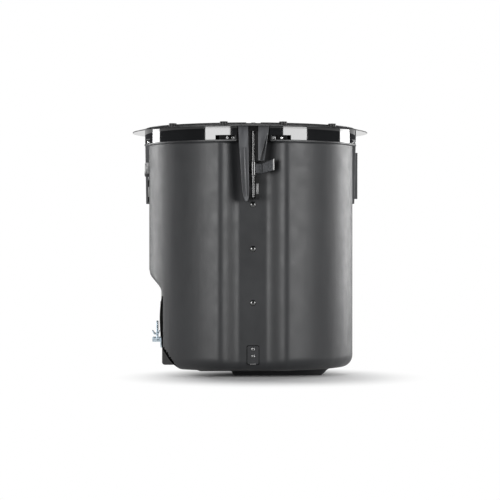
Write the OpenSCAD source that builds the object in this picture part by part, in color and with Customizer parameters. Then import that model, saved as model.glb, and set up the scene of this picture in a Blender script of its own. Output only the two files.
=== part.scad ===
// Ceiling loudspeaker with a deep steel back can, standing flange-up on its rear foot.
// Millimetres. The drum's axis is Z, the floor is z = 0, the terminal side faces -X.

/* [Bezel and collar] */
// Outer diameter of the bezel
bezel_d = 340; // [334:1:350]
// Height of the bezel's top face above the floor
bezel_top = 351.5; // [350.5:0.5:352]
// Thickness of the bezel at its inner edge
bezel_t = 5.5; // [5:0.5:6]
// Width of the bezel's slope
bevel_w = 18; // [14:0.5:19]
// Thickness of the collar's wall
collar_t = 3.5; // [3:0.1:4]

/* [Back can] */
// Outer diameter of the can's round wall
can_d = 306; // [304:1:308]
// Height of the can's top edge above the floor
can_top = 328.5; // [328:0.1:329]
// Height of the can's bottom above the floor
can_bottom = 10; // [9:0.5:12]
// Thickness of the can's steel
can_t = 1.5; // [1:0.1:2]
// Radius of the can's bottom edge
can_edge_r = 18; // [14:0.5:20]
// Height of the bevel under a channel's floor
channel_bevel = 11; // [8:0.5:12]
// Distance of a channel's floor from the axis
channel_floor = 132; // [131:0.1:132.4]
// Half the width of a channel's flat floor
channel_flat = 17; // [14:0.5:17]
// Half the width of a channel where it meets the round wall
channel_half = 51; // [48:0.5:54]

/* [Clamps] */
// Distance of a clamp screw from the axis
screw_r = 144; // [143.5:0.1:144.5]
// Diameter of a clamp screw
screw_d = 5; // [4:0.1:5]
// Height of a clamp screw's lower end
screw_end = 249; // [247.5:0.5:252]
// Radial clearance of each screw and shaft in its hole
fit = 0.08; // [0.05:0.01:0.1]
// Height of the clamp arm's lower edge
arm_z = 283; // [282:0.5:284]
// Distance of the guide fins' outer face from the axis
fin_face = 152.5; // [151.5:0.1:152.8]

/* [Woofer] */
// Outer diameter of the basket's flange
basket_d = 214; // [210:1:216]
// Outer diameter of the cone
cone_d = 150; // [146:1:152]
// Diameter of the voice coil
coil_d = 50.6; // [50.4:0.1:50.8]
// Diameter of the ferrite magnet
magnet_d = 124; // [110:1:130]

/* [Cable entry] */
// Distance of the flat terminal wall from the axis
terminal_x = 127.4; // [127:0.1:128]
// Height of the cable's axis
cable_z = 50; // [49.5:0.1:50.5]
// Radius of the cable hole
cable_r = 4.5; // [4:0.1:4.7]

/* [Hidden] */
$fn = 96;
eps = 0.01;
can_r = can_d / 2;
bezel_under = bezel_top - bezel_t;
guide_top = bezel_under + 0.5;
sides = ["front", "right", "back", "left"];

// Heights and radii shared by several parts
panel_top = 342;
panel_t = 6;
magnet_top = 353.5;
basin_r = 146.5;
pocket_half = 22.5;
pocket_floor = 132.6;
pocket_wall = 3;
foot_half_y = 75;
foot_left = -24;
foot_right = 97;
foot_slope = 13.5;
foot_lead = 8;
recess_top = 147;
recess_low = 119;
recess_depth = 17.4;
chamfer_top = 40.3;
chamfer_slope = 19.1 / 28.1;
chamfer_normal = sqrt(1 + chamfer_slope * chamfer_slope);
boss_t = 4;
head_h = 3;
guide_back = 134;
basket_z = panel_top;
cone_top = 333;
plate_z = 280;
coil_r = coil_d / 2;
port_r = 128;
port_bore = 15;
diagonal = 45;
strap_x = -134.5;
strap_screw_y = 10;
strap_screw_r = 1.6;

function smooth(t) = let (c = min(max(t, 0), 1)) c * c * (3 - 2 * c);
// Distance of the wall from the axis plane, x away from a channel's centre, t inside the outer face
function wall_h(x, t) =
    let (floor_h = channel_floor - t, round_h = sqrt(pow(can_r - t, 2) - x * x))
    floor_h + (round_h - floor_h) * smooth((abs(x) - channel_flat) / (channel_half - channel_flat));
// Side profile of the recess above the terminal wall
function recess_x(z, t) =
    -terminal_x + t - recess_depth * smooth((z - recess_low - t / 2) / (recess_top - recess_low));

// Places its children at each of the four clamps; the child is drawn for the front one
module at_side(side) {
    turn = side == "front" ? 0 : side == "right" ? 90 : side == "back" ? 180 : 270;
    rotate(turn) children();
}
module at_all_sides() {
    for (side = sides) at_side(side) children();
}
// A cylinder along +Y from y1 to y2
module rod_y(r, x, z, y1, y2) {
    translate([x, y1, z]) rotate([-90, 0, 0]) cylinder(h = y2 - y1, r = r);
}
// A cylinder along +X from x1 to x2
module rod_x(r, y, z, x1, x2) {
    translate([x1, y, z]) rotate([0, 90, 0]) cylinder(h = x2 - x1, r = r);
}
// A front-view outline in X and Z, extruded from y1 to y2
module plate_y(points, y1, y2) {
    translate([0, y2, 0]) rotate([90, 0, 0]) linear_extrude(y2 - y1) polygon(points);
}
module ring(r_in, r_out, z1, z2) {
    translate([0, 0, z1]) difference() {
        cylinder(h = z2 - z1, r = r_out);
        translate([0, 0, -1]) cylinder(h = z2 - z1 + 2, r = r_in);
    }
}
// A round bar along straight runs between points, each run a little longer than its stretch
module lead(points, r) {
    for (i = [0:len(points) - 2]) {
        run = points[i + 1] - points[i];
        flat = norm([run[0], run[1]]);
        translate(points[i])
            rotate([0, atan2(flat, run[2]), atan2(run[1], run[0])])
                cylinder(h = norm(run) + 0.6 * r, r = r, $fn = 24);
    }
}

// Outline of the can's wall in plan, t inside the outer face
module can_outline(t) {
    difference() {
        circle(r = can_r - t, $fn = 180);
        for (a = [0:90:270]) rotate(a) polygon(channel_points(t, 1));
    }
}
function channel_points(t, k) = concat(
    [for (i = [-15:15]) let (x = channel_half * i / 15) [x, wall_h(x, t) * k]],
    [[channel_half, (can_r + 40) * k], [-channel_half, (can_r + 40) * k]]
);
// The can's solid form, t inside the outer face
module can_form(t) {
    base = can_bottom + t;
    edge = can_edge_r - t;
    difference() {
        intersection() {
            linear_extrude(can_top + (t > 0 ? 1 : 0)) can_outline(t);
            rotate_extrude($fn = 180) {
                translate([0, base]) square([can_r - t - edge, can_top]);
                translate([0, base + edge]) square([can_r - t, can_top]);
                translate([can_r - t - edge, base + edge]) circle(r = edge, $fn = 48);
            }
        }
        for (a = [0:90:270]) rotate(a) translate([0, 0, base + channel_bevel - t / 2]) rotate([-45, 0, 0])
            translate([0, 0, channel_floor * sqrt(0.5) - 30]) linear_extrude(60)
                polygon(channel_points(t, sqrt(0.5)));
        terminal_recess(t);
    }
}
// What the terminal side takes off the can's form
module terminal_recess(t) {
    chamfer_x = -terminal_x + t * chamfer_normal;
    plate_y(concat(
        [for (i = [0:10]) let (z = recess_top + t - (recess_top - recess_low) * i / 10) [recess_x(z, t), z]],
        [[-terminal_x + t, chamfer_top], [chamfer_x, chamfer_top],
         [chamfer_x + (chamfer_top + 1) * chamfer_slope, -1], [-can_r - 9, -1], [-can_r - 9, recess_top + t]]
    ), -can_r, can_r);
}
// Side view of the pressed foot, t inside the outer face
module foot_form(t) {
    plate_y([
        [foot_left + t / 2, t], [foot_right - t / 2, t],
        [foot_right + foot_slope - t / 2, can_bottom + t + eps],
        [foot_left - foot_lead + t / 2, can_bottom + t + eps]
    ], -foot_half_y + t, foot_half_y - t);
}

module back_can() {
    color("#26272a") difference() {
        union() {
            can_form(0);
            foot_form(0);
        }
        can_form(can_t);
        foot_form(can_t);
        // opening for the terminal block and hole for the cable clamp's neck
        translate([-terminal_x - 2, -28, 72]) cube([6, 56, 30]);
        rod_x(8.2, 0, cable_z, -terminal_x - 2, -terminal_x + 6);
        // holes for the channel rivets, the tab screws and the safety eye
        at_all_sides() for (z = rivet_z) rod_y(1.6, 0, z, -channel_floor - 2, -channel_floor + 4);
        at_all_sides() for (z = tab_screw_z) rod_y(1.6, 0, z, -channel_floor - 2, -channel_floor + 4);
    }
}
rivet_z = [240, 178.7, 104];
tab_screw_z = [40.2, 30.2];
tab_z = [18.5, 45.4];

module can_rim_band() {
    color("#3a3b3e") difference() {
        ring(can_r + 0.2, can_r + 1.3, can_top - 1.8, can_top + 0.7);
        at_all_sides() translate([-pocket_half, -can_r - 9, can_top - 9]) cube([2 * pocket_half, 30, 18]);
    }
}

module can_brackets() {
    color("#8f9296") for (a = bracket_angles) rotate(a) difference() {
        plate_y([
            [130, panel_top - panel_t - 2], [146.2, panel_top - panel_t - 2], [146.2, 310], [151.2, 310],
            [151.2, 324.8], [148.2, 324.8], [148.2, panel_top - panel_t], [130, panel_top - panel_t]
        ], -7, 7);
        translate([bracket_screw_r, 0, 300]) cylinder(h = 60, r = 2.1);
    }
}
bracket_angles = [25, 65, 115, 155, 205, 245, 295, 335];
bracket_screw_r = 138;

// Pan-head rivets down the middle of each channel, but none below the recess on the terminal side
module channel_rivets() {
    color("#2e2f32") for (side = sides, z = rivet_z)
        if (side != "left" || z > recess_top) at_side(side) rivet(0, z, -channel_floor, 4.3, 1.5);
}
// A dome-headed fastener through a wall that faces -Y
module rivet(x, z, face_y, head_r, shank_r) {
    intersection() {
        translate([x, face_y + head_r, z]) sphere(r = head_r * 1.62, $fn = 48);
        rod_y(head_r, x, z, face_y - 2.4, face_y);
    }
    rod_y(shank_r, x, z, face_y - 0.5, face_y + 2.2);
}

module tab_plates() {
    color("#232427") for (side = ["front", "right", "back"]) at_side(side) difference() {
        plate_y([[-8.65, tab_z[0]], [8.65, tab_z[0]], [8.65, tab_z[1]], [-8.65, tab_z[1]]],
                -channel_floor - 1.2, -channel_floor);
        for (z = tab_screw_z) rod_y(1.7, 0, z, -channel_floor - 3, -channel_floor + 3);
    }
}

module tab_plate_screws() {
    color("#c6c8ca") for (side = ["front", "right", "back"], z = tab_screw_z)
        at_side(side) rivet(0, z, -channel_floor - 1.2, 2.6, 1.5);
}

// Steel tab with an eye for a safety cable, under the can's terminal side
module safety_eye() {
    color("#2b2b2e") difference() {
        plate_y([[-62, can_bottom], [-44, can_bottom], [-46, 7.5], [-60, 7.5]], 60, 90);
        translate([-53, 82, 0]) cylinder(h = 30, r = 4);
    }
}

module baffle() {
    color("#0d0e11") difference() {
        union() {
            rotate_extrude($fn = 180) polygon([
                [basin_r, bezel_under], [bezel_d / 2, bezel_under], [bezel_d / 2, bezel_under + 1.2],
                [bezel_d / 2 - bevel_w, bezel_top], [basin_r, bezel_top]
            ]);
            ring(basin_r, can_r - 3, panel_top - panel_t, bezel_top);
            difference() {
                ring(148.3, 151.2, bezel_top - 1, bezel_top + 1);
                for (a = [0, 90]) rotate(a)
                    translate([-10, -can_r - 9, bezel_top]) cube([20, 2 * can_r + 18, 9]);
            }
            // collar wall, stepped in behind each clamp
            translate([0, 0, can_top]) linear_extrude(bezel_under - can_top) difference() {
                collar_outline(can_r, 0);
                collar_outline(can_r - collar_t, pocket_wall);
            }
            translate([0, 0, panel_top - panel_t]) linear_extrude(panel_t)
                collar_outline(can_r - 2, 1);
            at_all_sides() translate([-pocket_half - pocket_wall, -can_r + 1, bezel_under])
                cube([2 * (pocket_half + pocket_wall), can_r - pocket_floor + pocket_wall - 1, boss_t]);
        }
        translate([0, 0, panel_top - panel_t - 1]) cylinder(h = 30, r = basket_d / 2 - 9);
        at_all_sides() {
            // room for the clamp's guide, which stands in a shallow notch of the bezel's underside
            translate([-pocket_half, -can_r, panel_top - panel_t - 1])
                cube([2 * pocket_half, can_r - pocket_floor, guide_top - panel_top + panel_t + 1]);
            translate([0, -screw_r, bezel_under - 1]) cylinder(h = 30, r = screw_d / 2 + fit);
            translate([0, -screw_r, bezel_under + boss_t]) cylinder(h = 30, r = 6);
            // windows at the collar's lower edge, beside each clamp
            for (k = [-1, 1]) translate([k * 38 - 14, -can_r - 2, can_top - 1]) cube([28, 17, 7.5]);
        }
        for (i = [0:7]) rotate(i * 45 + 22.5) translate([basket_screw_r, 0, 300]) cylinder(h = 60, r = 2);
        for (a = bracket_angles) rotate(a) translate([bracket_screw_r, 0, 300]) cylinder(h = 60, r = 2.1);
        rotate(diagonal) translate([port_r, 0, 300]) cylinder(h = 60, r = port_bore + 2.3);
        rotate(diagonal + 90) translate([port_r, 0, 300]) cylinder(h = 60, r = 3 + fit);
        for (a = magnet_angles) rotate(a) translate([magnet_r, 0, magnet_seat]) cylinder(h = 9, r = 5.6);
    }
}
basket_screw_r = 102.5;
// A disc with a square-sided pocket behind each clamp
module collar_outline(r, wall) {
    difference() {
        circle(r = r, $fn = 180);
        for (a = [0:90:270]) rotate(a)
            translate([-pocket_half - wall, -r - 9]) square([2 * (pocket_half + wall), r + 9 - pocket_floor + wall]);
    }
}

module rim_gasket() {
    color("#1b1b1c") translate([0, 0, can_top - 3.5]) linear_extrude(3) difference() {
        can_outline(can_t + 0.2);
        can_outline(can_t + 3);
    }
}

module rim_tabs() {
    color("#b9bcc0") at_all_sides() for (k = [-1, 1]) difference() {
        translate([k * 36.5 - 10.5, -rim_tab_r, can_top + 0.2])
            cube([21, 1.5, panel_top - panel_t - can_top - 0.2]);
        for (x = collar_screw_x) rod_y(1.1, x, can_top + 3, -145, -135);
    }
}
cross_screw_x = -36;
collar_screw_x = [cross_screw_x, -28, 28, 39];
rim_tab_r = 141.3;

module collar_screws() {
    color("#d8dadc") at_all_sides() for (x = collar_screw_x) {
        rod_y(2.2, x, can_top + 3, -148, -rim_tab_r);
        if (x == cross_screw_x) translate([x - 0.7, -150.5, can_top + 0.8]) cube([1.4, 4, 5.6]);
        rod_y(1, x, can_top + 3, -rim_tab_r - 0.1, -138);
    }
}

magnet_r = 157;
magnet_seat = bezel_under + 2.6;
magnet_angles = [for (a = [45, 75, 105, 135], b = [0, 180]) a + b];
// Small discs that hold the grille
module grille_magnets() {
    color("#141416") for (a = magnet_angles) rotate(a) translate([magnet_r, 0, magnet_seat])
        cylinder(h = magnet_top - magnet_seat, r = 5.5);
}

module baffle_screws() {
    color("#3b3d41") for (a = bracket_angles) rotate(a) translate([bracket_screw_r, 0, 0]) {
        translate([0, 0, panel_top]) cylinder(h = 2.2, r = 4);
        translate([0, 0, panel_top - 16]) cylinder(h = 16 + eps, r = 2);
    }
}

// Long fin, short fin and the back plate that joins them
module clamp_guide(side) {
    long_fin = [
        [-21.2, guide_top], [-7.3, guide_top], [-6, 260], [-6.6, 248.5], [-8, 245], [-9.6, 244],
        [-11.6, 245.5], [-13.4, 250], [-15.4, 260]
    ];
    short_fin = [[6.5, guide_top], [21.6, guide_top], [15, 300], [6.5, 300]];
    back_plate = [[-21.2, guide_top], [21.6, guide_top], [15, 300], [-18.3, 300]];
    color("#1a1b1d") at_side(side) {
        plate_y(long_fin, -fin_face, -guide_back);
        plate_y(short_fin, -fin_face, -guide_back);
        plate_y(back_plate, -guide_back - 2, -guide_back);
    }
}

module clamp_screw(side) {
    color("#b8bbbf") at_side(side) translate([0, -screw_r, 0]) {
        translate([0, 0, screw_end]) cylinder(h = bezel_under + boss_t + 0.2 - screw_end, r = screw_d / 2);
        difference() {
            translate([0, 0, bezel_under + boss_t + 0.1]) cylinder(h = head_h, r = 4.5);
            for (a = [0, 90]) rotate(a)
                translate([-3, -0.6, bezel_under + boss_t + head_h - 1.4]) cube([6, 1.2, 9]);
        }
    }
}

// Two follower blocks on the screw, joined by a bar beside it
module clamp_nut(side) {
    upper = [268.6, 278];
    lower = [247, 254.5];
    color("#202123") at_side(side) translate([0, -screw_r, 0]) difference() {
        union() {
            for (z = [upper, lower]) translate([0, 0, z[0]]) linear_extrude(z[1] - z[0])
                polygon([[-4.5, -0.8], [3.2, -0.8], [3.2, -4], [8.4, -4], [8.4, 3.5], [-4.5, 3.5]]);
            translate([4.3, -3.2, lower[0]]) cube([2.7, 2.6, upper[0] - lower[0]]);
        }
        translate([0, 0, lower[0] - 1]) cylinder(h = 50, r = screw_d / 2 + fit);
    }
}

// Eye on the screw, then a dog-leg arm that steps outward and rises to its tip
module clamp_arm(side) {
    root_part = [[2.8, arm_z], [12.6, arm_z], [12.6, arm_z + 13], [2.8, arm_z + 13]];
    tip_part = [[12.5, arm_z], [28.7, arm_z + 4], [28.7, arm_z + 20], [12.5, arm_z + 13]];
    color("#6d6f72") at_side(side) translate([0, -screw_r, 0]) difference() {
        union() {
            translate([0, 0, arm_z - 3]) cylinder(h = 19, r = 3.75);
            plate_y(root_part, -3, 3);
            plate_y(tip_part, -8.6, -2);
        }
        translate([0, 0, arm_z - 9]) cylinder(h = 40, r = screw_d / 2 + fit);
    }
}

// Woofer frame: flange, vertical wall, and a conical part with six windows
module basket() {
    wall_r = basket_d / 2 - 14;
    color("#1d1e20") difference() {
        rotate_extrude($fn = 120) {
            polygon([
                [wall_r, basket_z], [basket_d / 2, basket_z], [basket_d / 2, basket_z + 2.5],
                [wall_r - 2, basket_z + 2.5], [wall_r - 2, 316.5], [56.5, 291], [30, 291], [30, 288],
                [58, 288], [wall_r, 315]
            ]);
        }
        for (i = [0:5]) rotate(i * 60) translate([50, -20, 295]) cube([60, 40, 30]);
        for (i = [0:7]) rotate(i * 45 + 22.5) translate([basket_screw_r, 0, 300]) cylinder(h = 60, r = 2);
    }
}

module basket_gasket() {
    color("#151516") ring(92, 98.5, basket_z + 3.5, basket_z + 5.3);
}

module woofer_screws() {
    color("#2a2b2e") for (i = [0:7]) rotate(i * 45 + 22.5) translate([basket_screw_r, 0, 0]) {
        translate([0, 0, basket_z + 2.5]) cylinder(h = 2.4, r = 3.6);
        translate([0, 0, panel_top - 14]) cylinder(h = 17, r = 1.9);
    }
}

// Half-roll between the cone's edge and the basket's flange
module surround() {
    r1 = cone_d / 2;
    r2 = basket_d / 2 - 16.2;
    mid = (r1 + r2) / 2;
    roll = (r2 - r1) / 2 - 0.4;
    color("#141415") rotate_extrude($fn = 120) {
        translate([mid, 337.5]) intersection() {
            difference() {
                circle(r = roll, $fn = 48);
                circle(r = roll - 0.9, $fn = 48);
            }
            translate([-roll, 0]) square([2 * roll, roll]);
        }
        translate([mid - roll, cone_top + 0.05]) square([0.9, 4.6]);
        translate([mid + roll - 0.9, 337.4]) square([0.9, basket_z + 3.4 - 337.4]);
        translate([mid + roll - 0.9, basket_z + 2.55]) square([8, 0.85]);
        translate([mid - roll - 3, cone_top + 0.05]) square([3.9, 0.9]);
    }
}

module cone() {
    r1 = cone_d / 2;
    color("#1e1f21") rotate_extrude($fn = 120) polygon([
        [coil_r + 0.1, 300], [coil_r + 3, 300], [r1 - 2, cone_top - 1.2], [r1, cone_top - 1.2],
        [r1, cone_top], [r1 - 3.5, cone_top], [coil_r + 0.1, 303]
    ]);
}

module dust_cap() {
    color("#18191a") difference() {
        intersection() {
            translate([0, 0, 276]) sphere(r = 42, $fn = 96);
            translate([0, 0, 305.9]) cylinder(h = 20, r = 31);
        }
        translate([0, 0, 276]) sphere(r = 41, $fn = 96);
    }
}

module voice_coil() {
    color("#b87333") {
        ring(coil_r - 0.5, coil_r, 268, 303);
        ring(coil_r - eps, coil_r + 0.25, 278, 290);
    }
}

// Flat corrugated disc that centres the coil
module spider() {
    color("#b79a5b") rotate_extrude($fn = 120) {
        for (i = [0:4]) {
            translate([coil_r + 0.6 + i * 5.4, i % 2 == 0 ? 293.2 : 294]) square([5.41, 0.9]);
        }
        translate([coil_r + 27.1, 291.05]) square([3.6, 3.05]);
    }
}

module top_plate() {
    color("#9a9da1") ring(coil_r + 0.65, 58, plate_z, plate_z + 8);
}

module ferrite_magnet() {
    color("#2c2c2e") ring(30, magnet_d / 2, plate_z - 20, plate_z);
}

module yoke() {
    color("#8f9296") {
        translate([0, 0, plate_z - 28]) cylinder(h = 8, r = 58);
        translate([0, 0, plate_z - 20 - eps]) cylinder(h = 28, r = coil_r - 0.95);
    }
}

module port_tube() {
    color("#121214") rotate(diagonal) translate([port_r, 0, 0]) {
        ring(port_bore, port_bore + 2, 262, panel_top + eps);
        ring(port_bore, port_bore + 3.2, panel_top, panel_top + 2);
    }
}

module acoustic_lining() {
    color("#8c8c84") ring(124, 129.5, 152, 250);
}

module tap_switch() {
    color("#2d3338") rotate(diagonal + 90) translate([port_r, 0, 0]) difference() {
        translate([-12, -12, panel_top - panel_t - 18]) cube([24, 24, 18]);
        translate([0, 0, panel_top - panel_t - 12]) cylinder(h = 30, r = 3 + fit);
    }
}

module tap_knob() {
    color("#101113") rotate(diagonal + 90) translate([port_r, 0, 0]) difference() {
        union() {
            translate([0, 0, panel_top + 0.4]) cylinder(h = 6.4, r = 9);
            translate([0, 0, panel_top - panel_t - 11]) cylinder(h = 18, r = 3);
        }
        translate([-0.7, 2, panel_top + 5.8]) cube([1.4, 9, 3]);
    }
}

core_x = [30, 86];
core_z = [can_t, can_t + 46];
module transformer_core() {
    color("#4d4f52") difference() {
        translate([core_x[0], -20, core_z[0]]) cube([core_x[1] - core_x[0], 40, core_z[1] - core_z[0]]);
        for (x = [38, 66]) translate([x, -30, core_z[0] + 8]) cube([12, 60, 30]);
    }
}

module transformer_coil() {
    color("#a5662b") difference() {
        translate([38.5, -30, core_z[0] + 8.5]) cube([39, 60, 29]);
        translate([49.5, -20.5, 0]) cube([17, 41, 60]);
    }
}

module transformer_bracket() {
    top = core_z[1];
    color("#a9acb0") plate_y([
        [18, can_t], [29.9, can_t], [29.9, top], [86.1, top], [86.1, can_t], [94, can_t], [94, can_t + 1.5],
        [87.6, can_t + 1.5], [87.6, top + 1.5], [28.4, top + 1.5], [28.4, can_t + 1.5], [18, can_t + 1.5]
    ], -12, 12);
}

board_z = 20;
module crossover_board() {
    color("#1f4d33") {
        translate([-92, -40, board_z]) cube([60, 80, 1.6]);
        for (x = [-87, -37], y = [-35, 35])
            translate([x, y, can_bottom + can_t]) cylinder(h = board_z - can_bottom - can_t + eps, r = 3);
    }
}

module inductor() {
    color("#b5692f") translate([-62, -16, 0]) ring(7, 18, board_z + 1.6, board_z + 18);
}

module capacitors() {
    color("#2b3a55") for (x = [-80, -62, -44]) translate([x, 22, board_z + 1.6]) cylinder(h = 26, r = 7.5);
}

module inner_leads() {
    color("#8a2020") {
        lead([[-110, -8, 86], [-98, -10, 70], [-88, -20, 24]], 1.2);
        lead([[-36, 10, 24], [-20, 60, 60], [0, 95, 200], [0, 84, 300]], 1.2);
        lead([[-36, -10, 24], [0, -24, 30], [36, -24, 30]], 1.2);
    }
}

// Bowed plate over the terminal opening
module terminal_cover() {
    chord = 67;
    rise = 3;
    bow_r = chord * chord / (8 * rise) + rise / 2;
    mid_z = 78.5;
    color("#17181a") difference() {
        intersection() {
            translate([-terminal_x - rise + bow_r, 45, mid_z]) rotate([90, 0, 0])
                cylinder(h = 90, r = bow_r, $fn = 180);
            translate([-terminal_x - rise - 1, -45, mid_z - chord]) cube([rise + 1, 90, 2 * chord]);
        }
        rod_x(15, 0, cable_z, -terminal_x - 9, -terminal_x + 9);
        for (y = [-40, 40], z = cover_screw_z) rod_x(1.7, y, z, -terminal_x - 9, -terminal_x + 9);
    }
}
cover_screw_z = [56, 101];

module cover_screws() {
    color("#303236") for (y = [-40, 40], z = cover_screw_z) {
        rod_x(3.2, y, z, -terminal_x - 3.7, -terminal_x - 2.1);
        rod_x(1.6, y, z, -terminal_x - 2.2, -terminal_x - eps);
    }
}

// Wedge-shaped box that fills the chamfer under the terminal wall
module terminal_box() {
    outer = -127;
    low = 13.4;
    corner = 4;
    gap = 0.3;
    foot_x = -terminal_x - gap + (chamfer_top - low) * chamfer_slope;
    color("#3c3d40") plate_y(concat(
        [for (i = [0:6]) [outer + corner - corner * cos(i * 15), low + corner - corner * sin(i * 15)]],
        [[foot_x, low], [outer, chamfer_top - (outer + terminal_x + gap) / chamfer_slope]]
    ), -45, 45);
}

module terminal_block() {
    color("#2f6b4a") difference() {
        translate([-terminal_x + 0.2, -26, 74]) cube([16, 52, 26]);
        for (y = [-18:12:18]) rod_x(2.5, y, 80, -terminal_x - 1, -terminal_x + 9);
        for (y = [-18:12:18]) rod_x(2, y, 92, -terminal_x - 1, -terminal_x + 5);
    }
}

// Zinc cable clamp: round flange, neck through the wall, half-round trough and two ears
module cable_clamp_body() {
    trough_r = cable_r + 0.7;
    color("#aab6c0") difference() {
        union() {
            rod_x(14.4, 0, cable_z, -terminal_x - 2.6, -terminal_x);
            rod_x(8, 0, cable_z, -terminal_x - 1, -terminal_x + 7);
            rod_x(trough_r + 1.4, 0, cable_z, -142, -terminal_x - 1);
            for (y = [-strap_screw_y, strap_screw_y])
                translate([-141, y - 3.5, cable_z - 1.5]) cube([11.2, 7, 2.5]);
            translate([-141, -strap_screw_y, cable_z - 1.5]) cube([11.2, 2 * strap_screw_y, 2.5]);
        }
        rod_x(cable_r, 0, cable_z, -150, -terminal_x + 9);
        rod_x(trough_r, 0, cable_z, -150, -terminal_x - 2.6);
        translate([-150, -7, cable_z + 1]) cube([150 - terminal_x - 2.6, 14, 20]);
        for (y = [-strap_screw_y, strap_screw_y])
            translate([strap_x, y, 30]) cylinder(h = 60, r = strap_screw_r + fit);
    }
}

// Saddle that the two screws draw down on the cable
module cable_clamp_strap() {
    low = cable_z + cable_r + 0.8;
    color("#b4bfc8") difference() {
        translate([0, 13.5, 0]) rotate([90, 0, 0]) linear_extrude(27) polygon([
            [-139, low], [-132, low], [-130.6, low + 5.5], [-132.2, low + 5.5], [-133.2, low + 2],
            [-137.8, low + 2], [-140.6, low + 5.5], [-142, low + 5.5]
        ]);
        for (y = [-strap_screw_y, strap_screw_y])
            translate([strap_x, y, 30]) cylinder(h = 60, r = strap_screw_r + fit);
    }
}

module cable_clamp_screw(y) {
    under = cable_z - 1.6;
    color("#c3ccd3") translate([strap_x, y, 0]) {
        translate([0, 0, under - 0.01]) cylinder(h = 74.6 - under, r = strap_screw_r);
        difference() {
            translate([0, 0, under - 2.4]) cylinder(h = 2.4, r = 3);
            translate([-4, -0.4, under - 3]) cube([8, 0.8, 1.6]);
        }
    }
}

back_can();
can_rim_band();
can_brackets();
channel_rivets();
tab_plates();
tab_plate_screws();
safety_eye();
baffle();
rim_gasket();
rim_tabs();
collar_screws();
grille_magnets();
baffle_screws();
clamp_guide("front");  // clamp_guide_front
clamp_guide("right");  // clamp_guide_right
clamp_guide("back");  // clamp_guide_back
clamp_guide("left");  // clamp_guide_left
clamp_screw("front");  // clamp_screw_front
clamp_screw("right");  // clamp_screw_right
clamp_screw("back");  // clamp_screw_back
clamp_screw("left");  // clamp_screw_left
clamp_nut("front");  // clamp_nut_front
clamp_nut("right");  // clamp_nut_right
clamp_nut("back");  // clamp_nut_back
clamp_nut("left");  // clamp_nut_left
clamp_arm("front");  // clamp_arm_front
clamp_arm("right");  // clamp_arm_right
clamp_arm("back");  // clamp_arm_back
clamp_arm("left");  // clamp_arm_left
basket();
basket_gasket();
woofer_screws();
surround();
cone();
dust_cap();
voice_coil();
spider();
top_plate();
ferrite_magnet();
yoke();
port_tube();
acoustic_lining();
tap_switch();
tap_knob();
transformer_core();
transformer_coil();
transformer_bracket();
crossover_board();
inductor();
capacitors();
inner_leads();
terminal_cover();
terminal_box();
cover_screws();
terminal_block();
cable_clamp_body();
cable_clamp_strap();
cable_clamp_screw(strap_screw_y);  // cable_clamp_screw_a
cable_clamp_screw(-strap_screw_y);  // cable_clamp_screw_b
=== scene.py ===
import math

import bmesh
import bpy
import numpy as np
from mathutils import Matrix, Vector


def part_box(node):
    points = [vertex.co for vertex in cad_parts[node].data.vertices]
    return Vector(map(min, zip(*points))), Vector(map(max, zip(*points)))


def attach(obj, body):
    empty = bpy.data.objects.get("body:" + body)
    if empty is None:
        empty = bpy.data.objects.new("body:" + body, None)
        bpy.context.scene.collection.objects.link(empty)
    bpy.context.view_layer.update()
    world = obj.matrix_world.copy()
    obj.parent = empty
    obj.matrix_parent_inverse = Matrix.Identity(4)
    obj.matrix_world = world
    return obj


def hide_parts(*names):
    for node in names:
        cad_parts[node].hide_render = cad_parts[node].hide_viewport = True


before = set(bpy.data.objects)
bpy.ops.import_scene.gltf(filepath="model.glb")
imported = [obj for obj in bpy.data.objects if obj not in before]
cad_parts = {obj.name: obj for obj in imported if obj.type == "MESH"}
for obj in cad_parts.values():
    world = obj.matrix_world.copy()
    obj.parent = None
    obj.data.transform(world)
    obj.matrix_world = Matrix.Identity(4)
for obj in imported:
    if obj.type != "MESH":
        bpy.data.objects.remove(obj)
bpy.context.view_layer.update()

# The script works in millimetres and turns them into metres when a mesh is made.
MM = 0.001


def low(node):
    """Lowest corner of a CAD node, in millimetres."""
    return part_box(node)[0] / MM


def high(node):
    """Highest corner of a CAD node, in millimetres."""
    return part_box(node)[1] / MM


def heights(node):
    """Lowest and highest z of a CAD node, in millimetres."""
    return low(node).z, high(node).z


# ---------------- driving sizes, from the frame
CAN_R = 153.0
CAN_TOP = high("back_can").z
CAN_BASE = 10.0
CAN_EDGE = 18.0
CHANNEL_EDGE = 14.0
CAN_T = 1.5
CHANNEL_FLOOR = 132.0
CHANNEL_FLAT = 17.0
CHANNEL_HALF = 51.0
BEZEL_R = high("baffle").x
BEZEL_TOP = 351.5
BEZEL_UNDER = 346.0
MAGNET_TOP = high("grille_magnets").z
BASIN_R = 146.5
PANEL_TOP = 342.0
PANEL_UNDER = 336.0
COLLAR_T = 3.5
POCKET_HALF = 22.5
POCKET_FLOOR = 132.6
SCREW_R = -(low("clamp_screw_front").y + high("clamp_screw_front").y) / 2
SCREW_END = low("clamp_screw_front").z
FIN_FACE = -low("clamp_guide_front").y
GUIDE_BACK = -high("clamp_guide_front").y
ARM_Z = low("clamp_arm_front").z + 3
TERMINAL_X = 127.4
CABLE_Z = 50.0
STRAP_X = (low("cable_clamp_screw_a").x + high("cable_clamp_screw_a").x) / 2
RIVET_Z = (240.0, 178.7, 104.0)
TAB_SCREW_Z = (40.2, 30.2)
BASKET_R = high("basket").x
CONE_R = high("cone").x
SIDES = {"front": 0, "right": 90, "back": 180, "left": 270}
SMOOTH_ANGLE = math.radians(36)


def smooth(t):
    """Rises from 0 to 1 while t does, with level ends."""
    t = np.clip(t, 0, 1)
    return t * t * (3 - 2 * t)


def soft_min(a, b, k):
    """The smaller of two values, blended over a width k where they meet."""
    h = np.clip(0.5 + 0.5 * (b - a) / k, 0, 1)
    return b * (1 - h) + a * h - k * h * (1 - h)


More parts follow.
